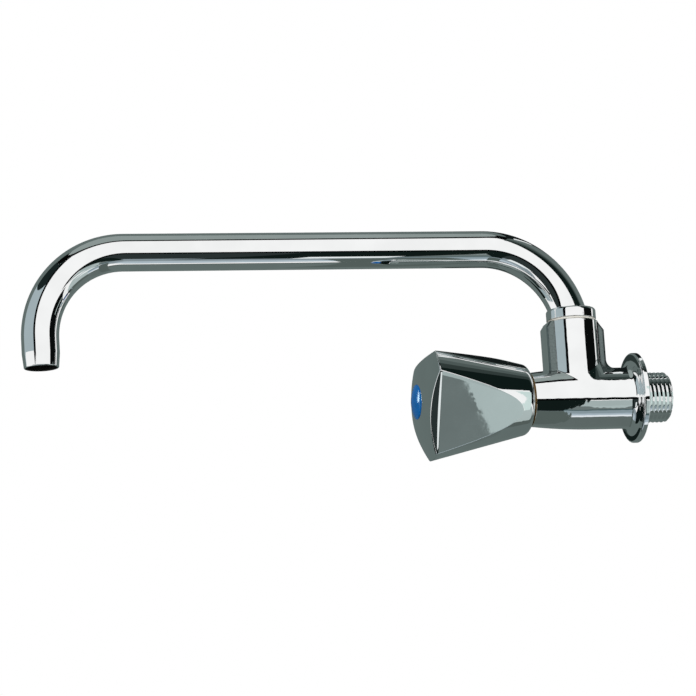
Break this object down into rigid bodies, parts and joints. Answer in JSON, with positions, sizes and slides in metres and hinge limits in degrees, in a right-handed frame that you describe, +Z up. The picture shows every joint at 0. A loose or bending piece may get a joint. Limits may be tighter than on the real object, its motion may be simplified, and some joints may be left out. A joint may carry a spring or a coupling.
{
  "type": "wall faucet",
  "caption": "Chrome wall tap with a swivelling swan-neck spout on top, a three-cornered knob in front, a round wall flange and a threaded inlet tail.",
  "frame": {"origin": "centre of the wall flange's back face, on the inlet axis", "axes": "+Y into the wall along the inlet tail, -Y towards the knob, +Z up along the branch that carries the spout, +X to the right seen from the knob"},
  "size_m": [0.0471, 0.2707, 0.0965],
  "materials": {
    "chrome_plating": "polished chrome plating on brass",
    "spout_chrome": "polished chrome plating on drawn brass tube",
    "knob_chrome": "polished chrome plating on a zinc die casting",
    "brass": "turned, uncoated",
    "stainless": "turned stainless steel",
    "spring_steel": "blanked spring steel",
    "seal_rubber": "moulded nitrile rubber",
    "fibre": "pressed red fibre",
    "slide_plastic": "moulded acetal",
    "index_blue": "glossy moulded plastic"
  },
  "bodies": {
    "tap_body": {"valve_body": "chrome_plating", "valve_seat": "stainless", "headwork_bonnet": "brass", "bonnet_gasket": "fibre", "spout_slip_ring": "slide_plastic"},
    "spout": {"spout_tube": "spout_chrome", "spout_ferrule": "spout_chrome", "ferrule_o_ring_lower": "seal_rubber", "ferrule_o_ring_upper": "seal_rubber", "spout_snap_ring": "spring_steel"},
    "knob": {"knob": "knob_chrome", "knob_insert": "brass", "knob_lock_washer": "spring_steel", "knob_screw": "stainless", "index_button": "index_blue", "spindle": "brass", "spindle_o_ring_inner": "seal_rubber", "spindle_o_ring_outer": "seal_rubber", "spindle_slip_washer": "slide_plastic", "spindle_circlip": "spring_steel"},
    "jumper": {"jumper": "brass", "tap_washer": "seal_rubber", "washer_screw": "stainless"}
  },
  "joints": [
    {"name": "spout_swivel", "type": "hinge", "parent": "tap_body", "child": "spout", "pos_m": [0, -0.026, 0.033], "axis": [0, 0, 1], "range_deg": [-90, 90]},
    {"name": "knob_turn", "type": "hinge", "parent": "tap_body", "child": "knob", "pos_m": [0, -0.069, 0], "axis": [0, -1, 0], "range_deg": [0, 900]},
    {"name": "valve_lift", "type": "slide", "parent": "tap_body", "child": "jumper", "axis": [0, -1, 0], "range_m": [0, 0.005]}
  ],
  "couplings": [
    {"joint": "valve_lift", "follows": "knob_turn", "m_per_rad": 0.0003183}
  ]
}
